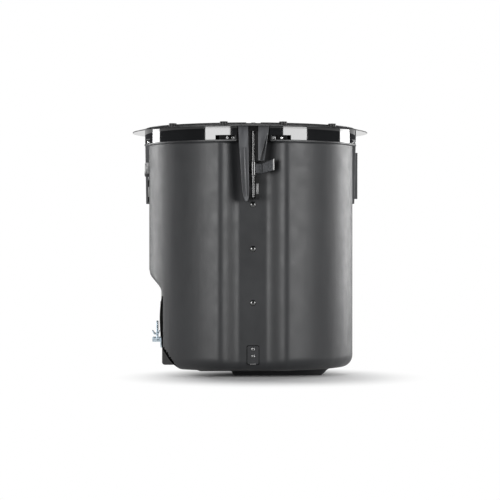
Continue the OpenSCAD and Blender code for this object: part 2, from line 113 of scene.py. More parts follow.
def turn(degrees):
    """A rotation about the drum's axis."""
    return Matrix.Rotation(math.radians(degrees), 4, "Z")


# ---------------- materials
class Nodes:
    """A principled material and short ways to add nodes to it."""

    def __init__(self, name, **values):
        self.material = bpy.data.materials.new(name)
        self.material.use_nodes = True
        self.tree = self.material.node_tree
        self.shader = self.tree.nodes["Principled BSDF"]
        for key, value in values.items():
            self.shader.inputs[key.replace("_", " ")].default_value = value
        self.place = self.add("ShaderNodeTexCoord").outputs["Object"]

    def add(self, kind, **values):
        node = self.tree.nodes.new(kind)
        for key, value in values.items():
            if key in node.inputs:
                node.inputs[key].default_value = value
            else:
                setattr(node, key, value)
        return node

    def link(self, a, b):
        self.tree.links.new(a, b)

    def stretched(self, scale):
        node = self.add("ShaderNodeMapping")
        node.inputs["Scale"].default_value = scale
        self.link(self.place, node.inputs["Vector"])
        return node.outputs["Vector"]

    def noise(self, scale, detail=4, vector=None):
        node = self.add("ShaderNodeTexNoise", Scale=scale, Detail=detail)
        self.link(vector or self.place, node.inputs["Vector"])
        return node.outputs["Fac"]

    def cells(self, scale, vector=None):
        node = self.add("ShaderNodeTexVoronoi", Scale=scale)
        self.link(vector or self.place, node.inputs["Vector"])
        return node.outputs["Distance"]

    def ramp(self, source, low_value, high_value, start=0.3, end=0.7):
        node = self.add("ShaderNodeMapRange")
        limits = {"From Min": start, "From Max": end, "To Min": low_value, "To Max": high_value}
        for key, value in limits.items():
            node.inputs[key].default_value = value
        self.link(source, node.inputs["Value"])
        return node.outputs["Result"]

    def colours(self, source, dark, light, start=0.3, end=0.7):
        node = self.add("ShaderNodeValToRGB")
        first, last = node.color_ramp.elements
        first.position, first.color = start, (*dark, 1)
        last.position, last.color = end, (*light, 1)
        self.link(source, node.inputs["Fac"])
        return node.outputs["Color"]

    def bump(self, source, strength, distance, under=None):
        node = self.add("ShaderNodeBump", Strength=strength, Distance=distance)
        self.link(source, node.inputs["Height"])
        if under is not None:
            self.link(under, node.inputs["Normal"])
        return node.outputs["Normal"]

    def colour_from(self, output):
        self.link(output, self.shader.inputs["Base Color"])

    def roughness_from(self, output):
        self.link(output, self.shader.inputs["Roughness"])

    def normal_from(self, output):
        self.link(output, self.shader.inputs["Normal"])


def powder_coat(name, dark, light, rough, grain=900, strength=0.25, shine=0.35):
    """Satin paint with a fine orange-peel texture."""
    m = Nodes(name, Specular_IOR_Level=shine)
    m.colour_from(m.colours(m.noise(14, 5), dark, light))
    m.roughness_from(m.ramp(m.noise(60, 3), rough - 0.04, rough + 0.05))
    waves = m.bump(m.noise(70, 2, m.stretched((1, 1, 0.12))), 0.1, 0.002)
    broad = m.bump(m.noise(22, 2), 0.12, 0.002, waves)
    m.normal_from(m.bump(m.noise(grain, 3), strength, 0.0004, broad))
    return m.material


def gloss_moulding(name, dark, light, rough, shine=0.65):
    """Mirror-like black plastic with faint wipe marks."""
    m = Nodes(name, Specular_IOR_Level=shine)
    m.colour_from(m.colours(m.noise(9, 3), dark, light))
    streaks = m.noise(30, 5, m.stretched((1, 1, 0.15)))
    m.roughness_from(m.ramp(streaks, rough, rough + 0.05))
    m.normal_from(m.bump(m.noise(10, 1), 0.04, 0.002))
    return m.material


def satin_moulding(name, dark, light, rough, streak=1.0, strength=0.2, shine=0.5):
    """Moulded plastic with flow lines along the drum's axis."""
    m = Nodes(name, Specular_IOR_Level=shine)
    flow = m.noise(160, 4, m.stretched((1, 1, streak)))
    m.colour_from(m.colours(flow, dark, light))
    m.roughness_from(m.ramp(flow, rough - 0.08, rough + 0.1))
    m.normal_from(m.bump(m.noise(700, 3), strength, 0.0003))
    return m.material


def plated_metal(name, dark, light, rough, grain=260, stretch=(1, 1, 1)):
    """Plated or drawn metal with fine scratches and patches."""
    m = Nodes(name, Metallic=1.0)
    patches = m.noise(grain, 5, m.stretched(stretch))
    m.colour_from(m.colours(patches, dark, light))
    m.roughness_from(m.ramp(patches, rough - 0.07, rough + 0.12))
    m.normal_from(m.bump(m.noise(grain * 4, 2, m.stretched(stretch)), 0.15, 0.0002))
    return m.material


def cast_metal(name, dark, light, rough):
    """Sand-textured casting."""
    m = Nodes(name, Metallic=0.65)
    pits = m.cells(900)
    m.colour_from(m.colours(m.noise(420, 6), dark, light))
    m.roughness_from(m.ramp(m.noise(200, 4), rough - 0.1, rough + 0.1))
    grain = m.bump(m.noise(520, 5), 0.5, 0.0005)
    m.normal_from(m.bump(pits, 0.35, 0.0003, grain))
    return m.material


def fibre(name, dark, light, rough, scale, strength):
    """Pressed fibre, felt or woven cloth."""
    m = Nodes(name)
    threads = m.noise(scale, 6)
    m.colour_from(m.colours(threads, dark, light))
    m.roughness_from(m.ramp(threads, rough - 0.08, rough + 0.08))
    m.normal_from(m.bump(m.noise(scale * 2.5, 4), strength, 0.0005))
    return m.material


def wound(name, dark, light, rough, turns):
    """Varnished wire, wound in layers."""
    m = Nodes(name, Metallic=0.8)
    wave = m.add("ShaderNodeTexWave", Scale=turns, Distortion=0.6, bands_direction="Z")
    m.link(m.place, wave.inputs["Vector"])
    m.colour_from(m.colours(wave.outputs["Fac"], dark, light))
    m.roughness_from(m.ramp(m.noise(90, 3), rough - 0.05, rough + 0.08))
    m.normal_from(m.bump(wave.outputs["Fac"], 0.5, 0.0004))
    return m.material


def grey(value, tint=(1, 1, 1)):
    return tuple(value * t for t in tint)


COOL = (0.96, 0.99, 1.06)
BLUE_ZINC = (0.86, 1.0, 1.1)
can_paint = powder_coat("can_paint", grey(0.014, COOL), grey(0.018, COOL), 0.42, shine=0.3)
rim_paint = powder_coat("rim_paint", grey(0.008, COOL), grey(0.012, COOL), 0.4)
fastener_black = powder_coat("fastener_black", grey(0.004), grey(0.008), 0.16, 500, 0.08, 0.9)
cover_paint = powder_coat("cover_paint", grey(0.004), grey(0.007), 0.6, shine=0.1)
# black with no shine, used as painted shade: the shadow gap at the terminal wall's edges, the shadow line
# around the tab plates and the bottoms of their screw recesses
painted_shade_black = powder_coat("painted_shade_black", grey(0.001), grey(0.002), 0.85, shine=0.0)
box_paint = powder_coat("box_paint", grey(0.014), grey(0.022), 0.45, 500)
basket_paint = powder_coat("basket_paint", grey(0.015), grey(0.024), 0.35)
gloss_black = gloss_moulding("gloss_black", grey(0.004, COOL), grey(0.007, COOL), 0.03)
mirror_black = gloss_moulding("mirror_black", grey(0.004, COOL), grey(0.007, COOL), 0.02, 1.0)
bezel_black = satin_moulding("bezel_black", grey(0.003, COOL), grey(0.006, COOL), 0.35, 1.0, 0.1, 0.12)
guide_black = satin_moulding("guide_black", grey(0.03, COOL), grey(0.055, COOL), 0.36, 0.2)
panel_black = satin_moulding("panel_black", grey(0.01), grey(0.018), 0.4, 1.0, 0.35)
follower_black = satin_moulding("follower_black", grey(0.002), grey(0.004), 0.5, 1.0, 0.2, 0.15)
magnet_black = satin_moulding("magnet_black", grey(0.004), grey(0.007), 0.4, 1.0, 0.1, 0.2)
cap_black = satin_moulding("cap_black", grey(0.012), grey(0.02), 0.3)
switch_grey = satin_moulding("switch_grey", grey(0.04), grey(0.06), 0.5)
block_green = satin_moulding("block_green", (0.01, 0.09, 0.04), (0.02, 0.14, 0.06), 0.45)
sleeve_blue = satin_moulding("sleeve_blue", (0.02, 0.035, 0.08), (0.03, 0.05, 0.12), 0.25)
lead_red = satin_moulding("lead_red", (0.2, 0.012, 0.012), (0.3, 0.02, 0.02), 0.45)
surround_rubber = satin_moulding("surround_rubber", grey(0.012), grey(0.02), 0.42, 1.0, 0.3)
gasket_foam = fibre("gasket_foam", grey(0.01), grey(0.03), 0.9, 900, 0.6)
cone_fibre = fibre("cone_fibre", grey(0.018), grey(0.034), 0.55, 380, 0.35)
spider_cloth = fibre("spider_cloth", (0.25, 0.15, 0.05), (0.38, 0.24, 0.09), 0.85, 700, 0.7)
lining_felt = fibre("lining_felt", grey(0.12), grey(0.25), 0.95, 260, 0.9)
board_green = fibre("board_green", (0.008, 0.05, 0.02), (0.015, 0.08, 0.035), 0.3, 120, 0.05)
bright_steel = plated_metal("bright_steel", grey(0.55), grey(0.8), 0.2)
sleeve_steel = plated_metal("sleeve_steel", grey(0.05), grey(0.085), 0.24)
dark_steel = plated_metal("dark_steel", grey(0.16), grey(0.3), 0.34)
screw_steel = plated_metal("screw_steel", grey(0.07), grey(0.12), 0.25)
zinc = plated_metal("zinc", grey(0.42, BLUE_ZINC), grey(0.68, BLUE_ZINC), 0.28, 160)
arm_casting = cast_metal("arm_casting", grey(0.02, COOL), grey(0.06, COOL), 0.45)
core_iron = cast_metal("core_iron", grey(0.06), grey(0.12), 0.5)
ferrite = cast_metal("ferrite", grey(0.015), grey(0.035), 0.6)
copper_wire = wound("copper_wire", (0.35, 0.12, 0.04), (0.7, 0.3, 0.12), 0.3, 160)


# ---------------- mesh helpers
class Shape:
    """Collects solids, in millimetres, into one mesh."""

    def __init__(self):
        self.verts = []
        self.faces = []
        self.kinds = []

    def add(self, solid, matrix=None, kind=0):
        points, faces = solid
        start = len(self.verts)
        for p in points:
            v = Vector(p)
            self.verts.append(matrix @ v if matrix is not None else v)
        for f in faces:
            self.faces.append([start + i for i in f])
            self.kinds.append(kind)
        return self

    def build(self, name, materials, bevel=0.0, segments=2):
        mesh = bpy.data.meshes.new(name)
        mesh.from_pydata([v * MM for v in self.verts], [], self.faces)
        for material in materials:
            mesh.materials.append(material)
        mesh.polygons.foreach_set("material_index", self.kinds)
        bm = bmesh.new()
        bm.from_mesh(mesh)
        bmesh.ops.remove_doubles(bm, verts=bm.verts, dist=1e-6)
        bmesh.ops.recalc_face_normals(bm, faces=bm.faces)
        bm.to_mesh(mesh)
        bm.free()
        return finished(name, mesh, bevel, segments)


def soften(piece, width, angle, segments=1):
    """Bevels the edges that are sharper than an angle."""
    edge = piece.modifiers.new("bevel", "BEVEL")
    edge.width = width * MM
    edge.segments = segments
    edge.limit_method = "ANGLE"
    edge.angle_limit = angle
    return edge


def finished(name, mesh, bevel=0.0, segments=2):
    """Links a mesh as an object, with smooth shading and bevelled edges."""
    mesh.shade_smooth()
    mesh.set_sharp_from_angle(angle=SMOOTH_ANGLE)
    piece = bpy.data.objects.new(name, mesh)
    bpy.context.scene.collection.objects.link(piece)
    if bevel:
        soften(piece, bevel, SMOOTH_ANGLE, segments).miter_outer = "MITER_ARC"
        weighted = piece.modifiers.new("normals", "WEIGHTED_NORMAL")
        weighted.keep_sharp = True
    return piece


def lathe(profile, segments=96, start=0.0, end=360.0):
    """A closed (r, z) outline turned about Z; an arc gets end caps."""
    whole = end - start > 359.99
    count = segments if whole else segments + 1
    points = []
    for i in range(count):
        a = math.radians(start + (end - start) * i / segments)
        points += [(r * math.cos(a), r * math.sin(a), z) for r, z in profile]
    n = len(profile)
    faces = []
    for i in range(segments):
        a, b = i * n, ((i + 1) % count) * n
        for j in range(n):
            k = (j + 1) % n
            quad = (a + j, b + j, b + k, a + k)
            if profile[j][0] < 1e-9 and profile[k][0] < 1e-9:
                continue
            if profile[j][0] < 1e-9:
                quad = (a + j, b + k, a + k)
            elif profile[k][0] < 1e-9:
                quad = (a + j, b + j, a + k)
            faces.append(quad)
    if not whole:
        faces.append(tuple(range(n)))
        faces.append(tuple(reversed(range(segments * n, segments * n + n))))
    return points, faces


def rod(radius, low_z, high_z, segments=32):
    """A plain cylinder about Z."""
    return lathe([(0, low_z), (radius, low_z), (radius, high_z), (0, high_z)], segments)


def ring_faces(a, b, n):
    """Quads between two closed rings of n points, which start at a and b."""
    return [(a + i, a + (i + 1) % n, b + (i + 1) % n, b + i) for i in range(n)]


def loft(first, second):
    """Two outlines of 3-D points with as many points each, joined into a solid."""
    n = len(first)
    faces = [tuple(reversed(range(n))), tuple(range(n, 2 * n)), *ring_faces(0, n, n)]
    return list(first) + list(second), faces


def prism(outline, low_z, high_z):
    """An (x, y) outline raised from low_z to high_z; either may be a function of the point."""
    floor_z = low_z if callable(low_z) else lambda x, y: low_z
    roof_z = high_z if callable(high_z) else lambda x, y: high_z
    return loft([(x, y, floor_z(x, y)) for x, y in outline], [(x, y, roof_z(x, y)) for x, y in outline])


def front_plate(outline, y1, y2):
    """A front-view (x, z) outline, from y1 to y2."""
    return loft([(x, y1, z) for x, z in outline], [(x, y2, z) for x, z in outline])


def block(x, y, z):
    """A box from three (low, high) pairs."""
    return prism([(x[0], y[0]), (x[1], y[0]), (x[1], y[1]), (x[0], y[1])], z[0], z[1])


def towards_front(x, y, z):
    """Turns a solid's +Z to face -Y and moves it to (x, y, z)."""
    return Matrix.Translation((x, y, z)) @ Matrix.Rotation(math.radians(90), 4, "X")


def towards_left(x, y, z):
    """Turns a solid's +Z to face -X and moves it to (x, y, z)."""
    return Matrix.Translation((x, y, z)) @ Matrix.Rotation(math.radians(-90), 4, "Y")


def dome(radius, height, base=0.0, rings=8):
    """A rounded head that stands on its base, as a lathe outline."""
    top = [(radius * math.cos(t), base + height * math.sin(t)) for t in np.linspace(0, math.pi / 2, rings)]
    top[-1] = (0.0, base + height)
    return [(0.0, base), *top]


def threaded_rod(radius, depth, pitch, z0, z1, around=20):
    """A rod with a real thread: its surface follows a triangular wave along a helix."""
    steps = int((z1 - z0) / pitch * 4)
    points = []
    for j in range(steps + 1):
        z = z0 + (z1 - z0) * j / steps
        for i in range(around):
            phase = (z / pitch + i / around) % 1
            r = radius - depth * abs(2 * phase - 1)
            a = 2 * math.pi * i / around
            points.append((r * math.cos(a), r * math.sin(a), z))
    faces = []
    for j in range(steps):
        faces += ring_faces(j * around, (j + 1) * around, around)
    faces.append(tuple(reversed(range(around))))
    faces.append(tuple(range(steps * around, (steps + 1) * around)))
    return points, faces


def cut(piece, cutter_shape):
    """Takes a shape away from a piece for good."""
    cutter = cutter_shape.build(piece.name + "_cutter", [])
    modifier = piece.modifiers.new("cut", "BOOLEAN")
    modifier.operation = "DIFFERENCE"
    modifier.solver = "EXACT"
    modifier.object = cutter
    piece.modifiers.move(piece.modifiers.find("cut"), 0)
    with bpy.context.temp_override(object=piece, active_object=piece):
        bpy.ops.object.modifier_apply(modifier="cut")
    bpy.data.objects.remove(cutter)
    piece.data.shade_smooth()
    piece.data.set_sharp_from_angle(angle=SMOOTH_ANGLE)
    return piece


def settle(piece, body, slot, *nodes):
    """Makes a piece ride on a body and hides the CAD nodes it stands for; the slot is not used."""
    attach(piece, body)
    if nodes:
        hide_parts(*nodes)
    return piece


def cross_head(radius, height):
    """Pan head with a cross recess, standing on z = 0: head and recess cutter."""
    head = lathe(dome(radius, height), 40)
    arm = radius * 0.52
    half = radius * 0.2
    deep = height * 0.45
    corner = [(arm, half), (half, half), (half, arm)]
    quarters = ((1, 0), (0, 1), (-1, 0), (0, -1))
    outline = [(x * c - y * s, x * s + y * c) for c, s in quarters for x, y in corner]
    return head, prism(outline, deep, height + 1)


def four_arcs(profile, gap, segments):
    """A ring of four arcs, open by gap degrees on each side of every clamp."""
    shape = Shape()
    for a in SIDES.values():
        shape.add(lathe(profile, segments, a - 90 + gap, a - gap))
    return shape


def on_screw_axis(side):
    """Places a solid, made about Z, on the axis of one side's clamp screw."""
    return turn(SIDES[side]) @ Matrix.Translation((0, -SCREW_R, 0))


# ---------------- back can
AROUND = 480
angles = np.linspace(0, 2 * math.pi, AROUND, endpoint=False)


def channel_wall(x):
    """Distance of the can's wall from the plane through the axis, x away from a channel's centre."""
    x = np.minimum(np.abs(x), CAN_R - 0.001)
    round_part = np.sqrt(CAN_R**2 - x**2)
    rise = smooth((x - CHANNEL_FLAT) / (CHANNEL_HALF - CHANNEL_FLAT))
    return CHANNEL_FLOOR + (round_part - CHANNEL_FLOOR) * rise


def outline_radius(theta):
    """Radius of the can's plan outline at each angle, found by halving."""
    quarter = math.pi / 2
    local = (theta + quarter / 2) % quarter - quarter / 2
    near = np.full_like(theta, CHANNEL_FLOOR - 9)
    far = np.full_like(theta, CAN_R)
    for _ in range(40):
        mid = (near + far) / 2
        outside = mid * np.cos(local) > channel_wall(mid * np.sin(local))
        far = np.where(outside, mid, far)
        near = np.where(outside, near, mid)
    return far


def terminal_limit(z):
    """How far the can reaches towards -X at height z: chamfer, flat wall, recess, then free."""
    chamfer_top, recess_low, recess_top, recess_depth = 40.3, 119.0, 147.0, 17.4
    flat = TERMINAL_X + recess_depth * smooth((z - recess_low) / (recess_top - recess_low))
    free = flat + max(0.0, z - recess_top) * 2
    chamfer_run, chamfer_rise, clear_of_chamfer, blend = 19.1, 28.1, 70, 3.0
    chamfer = TERMINAL_X - (chamfer_top - z) * chamfer_run / chamfer_rise
    if z < clear_of_chamfer:
        return float(soft_min(np.float64(free), np.float64(chamfer), blend))
    return float(free)


def ring_at(z, inset_round, inset_channel):
    """The can's plan outline at height z, drawn in by its own inset on the drum and in the channels."""
    base = outline_radius(angles)
    depth = np.clip((CAN_R - base) / (CAN_R - CHANNEL_FLOOR), 0, 1)
    r = base - inset_round * (1 - depth) - inset_channel * depth
    facing = -np.cos(angles)
    reach = terminal_limit(z) - 0.6 * rounding(16.0, z - CAN_BASE)
    limit = np.where(facing > 0.05, reach / np.maximum(facing, 0.05), 999.0)
    r = soft_min(r, limit, 2.5)
    return r * np.cos(angles), r * np.sin(angles)


def pressed(depth, ramps):
    """Depth of a pressed field; each ramp rises from 0 outside it to 1 inside it."""
    for ramp in ramps:
        depth = depth * smooth(ramp)
    return depth


def foot_depth(x, y):
    """How far the foot and the shallow step beside it drop below the can's bottom."""
    left, right, half, slope, lead = -24.0, 97.0, 75.0, 13.5, 8.0
    ramps = [(x - left + lead) / lead, (right + slope - x) / slope, (half + slope - np.abs(y)) / slope]
    foot = pressed(CAN_BASE, ramps)
    step_depth, step_left, step_right, step_front, step_back = 2.0, -80, 60, -110, 40
    front_slope, step_slope = 6, 9
    step_ramps = [
        (x - step_left) / step_slope, (step_right - x) / step_slope, (y - step_front) / front_slope,
        (step_back - y) / step_slope
    ]
    return np.maximum(foot, pressed(step_depth, step_ramps))


def rounding(edge, height):
    """Inset of a rounded bottom edge at a height above the bottom."""
    rest = max(0.0, edge - height)
    return edge - math.sqrt(edge * edge - rest * rest)


def paint_shadow_gap(shell):
    """Paints shade: blackens the side edges of the terminal wall and its chamfer, where the cover meets the
    can, as a painted shadow gap and painted dark reflection.
    """
    bottom, chamfer_top, top = 12, 42, 112
    edge = 10
    for face in shell.data.polygons:
        centre = face.center / MM
        limit = terminal_limit(centre.z)
        width = 2.0 if centre.z > chamfer_top else 4.2
        at_rim = abs(centre.y) > math.sqrt(max(0.0, CAN_R**2 - limit**2)) - edge
        in_wall = bottom < centre.z < top and centre.x < width - limit
        # faces on the terminal wall near its side edges get the black painted shade
        if face.normal.x < -0.4 and in_wall and at_rim:
            face.material_index = 1


def back_can():
    """Pressed drum with four channels, a flat terminal wall and a foot in its bottom."""
    wall_step, bottom_rings = 3.4, 88
    levels = [CAN_BASE + CAN_EDGE * (1 - math.cos(t)) for t in np.linspace(0, math.pi / 2, 12)]
    levels += list(np.arange(levels[-1] + 3, CAN_TOP - 2, wall_step)) + [CAN_TOP]
    points = []
    for z in levels:
        above = z - CAN_BASE
        xs, ys = ring_at(z, rounding(CAN_EDGE, above), rounding(CHANNEL_EDGE, above))
        points += [(x, y, z) for x, y in zip(xs, ys)]
    wall_rows = len(levels)
    rim_x, rim_y = ring_at(CAN_BASE, CAN_EDGE, CHANNEL_EDGE)
    shares = [1 - k / bottom_rings for k in range(1, bottom_rings)]
    for share in shares:
        xs, ys = rim_x * share, rim_y * share
        zs = CAN_BASE - foot_depth(xs, ys)
        points += list(zip(xs, ys, zs))
    points.append((0, 0, CAN_BASE - float(foot_depth(np.float64(0), np.float64(0)))))
    faces = []
    for j in range(wall_rows - 1):
        faces += ring_faces(j * AROUND, (j + 1) * AROUND, AROUND)
    rows = [0] + [wall_rows + j for j in range(len(shares))]
    for upper, lower in zip(rows, rows[1:]):
        faces += ring_faces(lower * AROUND, upper * AROUND, AROUND)
    centre = len(points) - 1
    last = rows[-1] * AROUND
    faces += [(last + (i + 1) % AROUND, last + i, centre) for i in range(AROUND)]
    shell = Shape().add((points, faces)).build("can_shell", [can_paint, painted_shade_black])
    # painted shade: a black shadow gap along the terminal wall's side edges
    paint_shadow_gap(shell)
    thickness = shell.modifiers.new("thickness", "SOLIDIFY")
    thickness.thickness = CAN_T * MM
    thickness.offset = -1
    settle(shell, "housing", "can_steel", "back_can")


def rim_band():
    """Rolled band around the top of the can, between the pockets."""
    inner, outer = CAN_R + 0.2, CAN_R + 1.3
    low_z, high_z = heights("can_rim_band")
    lip = 0.35
    profile = [
        (inner, low_z), (outer - lip, low_z), (outer, low_z + lip),
        (outer, high_z - lip), (outer - lip, high_z), (inner, high_z)
    ]
    gap = math.degrees(math.asin(POCKET_HALF / outer)) + 0.4
    band = four_arcs(profile, gap, 120)
    settle(band.build("rim_band", [rim_paint]), "housing", "rim_steel", "can_rim_band")


def rivets():
    """Rivets down each channel; the terminal side has only those above its recess."""
    recess_top = 147
    shape = Shape()
    head = lathe(dome(4.25, 2.1, -0.1), 40)
    washer = lathe([(0, -0.1), (4.3, -0.1), (4.3, 0.3), (4.0, 0.55), (0, 0.55)], 40)
    for side, a in SIDES.items():
        for z in RIVET_Z:
            if side != "left" or z > recess_top:
                at = turn(a) @ towards_front(0, -CHANNEL_FLOOR, z)
                shape.add(head, at).add(washer, at)
    settle(shape.build("rivet_heads", [fastener_black]), "housing", "black_rivet", "channel_rivets")


def tab_plates():
    """Small cover plate at the foot of three channels, on a black backing that shows around it as a painted
    shadow line; black fills in the screw recesses are painted shade.
    """
    plates, backs, heads, recesses, crosses, lips = (Shape() for _ in range(6))
    z0, z1 = heights("tab_plates")
    half, corner, edge = 8.6, 1.5, 0.7
    head, cutter = cross_head(2.9, 1.7)
    # a black fill for the bottom of each cross recess: painted shade
    cross = prism([(x, y) for x, y, z in cutter[0][: len(cutter[0]) // 2]], 0.3, 0.85)
    for side in ("front", "right", "back"):
        # backs: a black sheet 0.7 mm larger behind each plate, a painted shadow line around it
        for shape, inset, y in ((backs, 0.0, -0.7), (plates, edge, -1.2)):
            h, a, b = half - inset, z0 + inset, z1 - inset
            outline = [
                (-h, a + corner), (-h + corner, a), (h - corner, a), (h, a + corner),
                (h, b - corner), (h - corner, b), (-h + corner, b), (-h, b - corner)
            ]
            shape.add(front_plate(outline, y - CHANNEL_FLOOR, 0.3 - CHANNEL_FLOOR), turn(SIDES[side]))
        lip = block((-3.8, 3.8), (-CHANNEL_FLOOR - 1.9, -CHANNEL_FLOOR - 1.0), (z0 + 0.5, z0 + 1.7))
        lips.add(lip, turn(SIDES[side]))
        for z in TAB_SCREW_Z:
            at = turn(SIDES[side]) @ towards_front(0, -CHANNEL_FLOOR - 1.2, z)
            heads.add(head, at)
            recesses.add(cutter, at)
            crosses.add(cross, at)
    settle(plates.build("tab_covers", [can_paint], 0.25), "housing", "tab_black", "tab_plates")
    settle(backs.build("tab_backings", [painted_shade_black], 0.2), "housing", "tab_black")
    settle(lips.build("tab_lips", [dark_steel], 0.2), "housing", "tab_black")
    screws = cut(heads.build("tab_screw_heads", [dark_steel]), recesses)
    settle(screws, "housing", "bright_screw", "tab_plate_screws")
    # painted shade: black fills at the bottom of the cross recesses
    settle(crosses.build("tab_screw_recesses", [painted_shade_black]), "housing", "bright_screw")


# ---------------- bezel, collar and panel
def bezel():
    """Sloped bezel ring, with a mirror-like face below that meets the ceiling."""
    under, rim = BEZEL_UNDER, BEZEL_UNDER + 1.2
    profile = [
        (CAN_R - 3, under + 0.25), (BEZEL_R - 0.7, under + 0.25), (BEZEL_R - 0.7, under),
        (BEZEL_R - 0.35, under), (BEZEL_R, under + 0.35), (BEZEL_R, rim - 0.3), (BEZEL_R - 0.3, rim),
        (BEZEL_R - 17.6, BEZEL_TOP - 0.2), (BEZEL_R - 18.3, BEZEL_TOP), (BASIN_R + 0.5, BEZEL_TOP),
        (BASIN_R, BEZEL_TOP - 0.5), (BASIN_R, PANEL_TOP - 1), (CAN_R - 3, PANEL_TOP - 1)
    ]
    ring = Shape().add(lathe(profile, 360))
    settle(ring.build("bezel_ring", [bezel_black]), "housing", "gloss_black", "baffle")
    inner, outer = CAN_R - 2.9, BEZEL_R - 0.7
    section = [(inner, under), (outer, under), (outer, under + 0.3), (inner, under + 0.3)]
    face = Shape().add(lathe(section, 360))
    settle(face.build("bezel_underside", [mirror_black]), "housing", "gloss_black")


def grille_ridge():
    """Low ridge that a grille would stand around, open over each clamp."""
    base, top = BEZEL_TOP - 0.4, BEZEL_TOP + 1
    profile = [
        (148.4, base), (151.1, base), (151.1, top - 0.4), (150.7, top), (148.8, top), (148.4, top - 0.4)
    ]
    opening_half, middle_r = 10, 150
    ridge = four_arcs(profile, math.degrees(math.asin(opening_half / middle_r)), 100)
    settle(ridge.build("grille_ridge", [bezel_black]), "housing", "gloss_black")


def collar():
    """Collar wall between the clamps, with a window cut into its lower edge beside each one."""
    inner = CAN_R - COLLAR_T
    edge = math.degrees(math.asin((POCKET_HALF - 0.3) / CAN_R))
    near = math.degrees(math.asin(24 / CAN_R))
    far = math.degrees(math.asin(52 / CAN_R))
    sill = CAN_TOP + 6.5
    lip = 0.4
    top = BEZEL_UNDER + 0.5
    tall, short = (
        [(inner, base), (CAN_R - lip, base), (CAN_R, base + lip), (CAN_R, top), (inner, top)]
        for base in (CAN_TOP, sill)
    )
    shape = Shape()
    for a in SIDES.values():
        spans = [(edge, near, tall, 4), (near, far, short, 24), (far, 90 - far, tall, 100),
                 (90 - far, 90 - near, short, 24), (90 - near, 90 - edge, tall, 4)]
        for start, end, profile, steps in spans:
            shape.add(lathe(profile, steps, a - 90 + start, a - 90 + end))
    settle(shape.build("collar_wall", [gloss_black]), "housing", "gloss_black")


def pockets():
    """Stepped-in wall behind each clamp, and the boss that closes it and carries the screw."""
    walls, bosses, holes = Shape(), Shape(), Shape()
    half, t = POCKET_HALF, 3.0
    outside = -CAN_R + 4.5
    outline = [
        (-half - t, outside), (-half, outside), (-half, -POCKET_FLOOR), (half, -POCKET_FLOOR),
        (half, outside), (half + t, outside), (half + t, -POCKET_FLOOR + t), (-half - t, -POCKET_FLOOR + t)
    ]
    for a in SIDES.values():
        walls.add(prism(outline, CAN_TOP, BEZEL_UNDER), turn(a))
        boss = block((-half - t, half + t), (-150, -POCKET_FLOOR + t), (BEZEL_UNDER, BEZEL_UNDER + 4))
        bosses.add(boss, turn(a))
        holes.add(rod(2.7, 340, 360), turn(a) @ Matrix.Translation((0, -SCREW_R, 0)))
    settle(walls.build("pocket_walls", [panel_black], 0.3), "housing", "gloss_black")
    settle(cut(bosses.build("clamp_bosses", [panel_black], 0.4), holes), "housing", "gloss_black")


def panel():
    """Round panel with a notch at each clamp, the woofer's opening and the port's hole."""
    shape = Shape().add(rod(149.6, PANEL_UNDER, PANEL_TOP, 240))
    holes = Shape()
    low_z, high_z = PANEL_UNDER - 5, PANEL_TOP + 5
    for a in SIDES.values():
        notch = block((-POCKET_HALF - 1, POCKET_HALF + 1), (-160, -POCKET_FLOOR + 1), (low_z, high_z))
        holes.add(notch, turn(a))
    holes.add(rod(98, low_z, high_z, 160))
    holes.add(rod(17.2, low_z, high_z, 64), Matrix.Translation(port_centre()))
    plate = cut(shape.build("baffle_panel", [panel_black]), holes)
    soften(plate, 0.4, math.radians(30))
    settle(plate, "housing", "gloss_black")


def port_centre():
    """The port's axis, in the plane z = 0."""
    at = (low("port_tube") + high("port_tube")) / 2
    return Vector((at.x, at.y, 0))


def collar_fasteners():
    """Bright screws, a washer and a clip in the collar's windows."""
    z = CAN_TOP + 3.0
    face = -148.0
    back = -141.3
    studs = Shape()
    for a in SIDES.values():
        for x in (-36.0, 39.0):
            at = turn(a) @ towards_front(x, back, z)
            studs.add(rod(1.6, 0, 5, 24), at)
        studs.add(block((-36.6, -35.4), (-150.4, -146.6), (CAN_TOP + 0.9, CAN_TOP + 6.3)), turn(a))
        studs.add(block((-38.1, -33.9), (-147.9, -146), (z - 0.6, z + 0.6)), turn(a))
        studs.add(lathe(dome(2.1, 1.5), 24), turn(a) @ towards_front(39.0, back - 5, z))
        washer = [(1.0, 0), (2.2, 0), (2.2, 5.6), (1.9, 6.2), (1.2, 6.2), (1.0, 5.8)]
        studs.add(lathe(washer, 32), turn(a) @ towards_front(-28.0, back, z))
        clip = [(26, z - 2.4), (26, z + 2.4), (30.4, z + 2.4), (30.4, z - 2.4), (29.3, z - 2.4),
                (29.3, z + 1.3), (27.1, z + 1.3), (27.1, z - 2.4)]
        studs.add(front_plate(clip, face + 0.4, back), turn(a))
    settle(studs.build("collar_fasteners", [bright_steel], 0.12), "housing", "bright_screw", "collar_screws")


def grille_magnets():
    """Eight magnets that would hold the grille, in fours towards the front and the back."""
    shape = Shape()
    base = low("grille_magnets").z
    puck = [(0, base), (5.5, base), (5.5, MAGNET_TOP - 0.4), (5.1, MAGNET_TOP), (2.2, MAGNET_TOP),
            (1.9, MAGNET_TOP - 0.35), (0, MAGNET_TOP - 0.35)]
    for step in (45, 75, 105, 135):
        for half_turn in (0, 180):
            shape.add(lathe(puck, 40), turn(step + half_turn) @ Matrix.Translation((157, 0, 0)))
    settle(shape.build("magnet_pucks", [magnet_black]), "housing", "magnet_black", "grille_magnets")


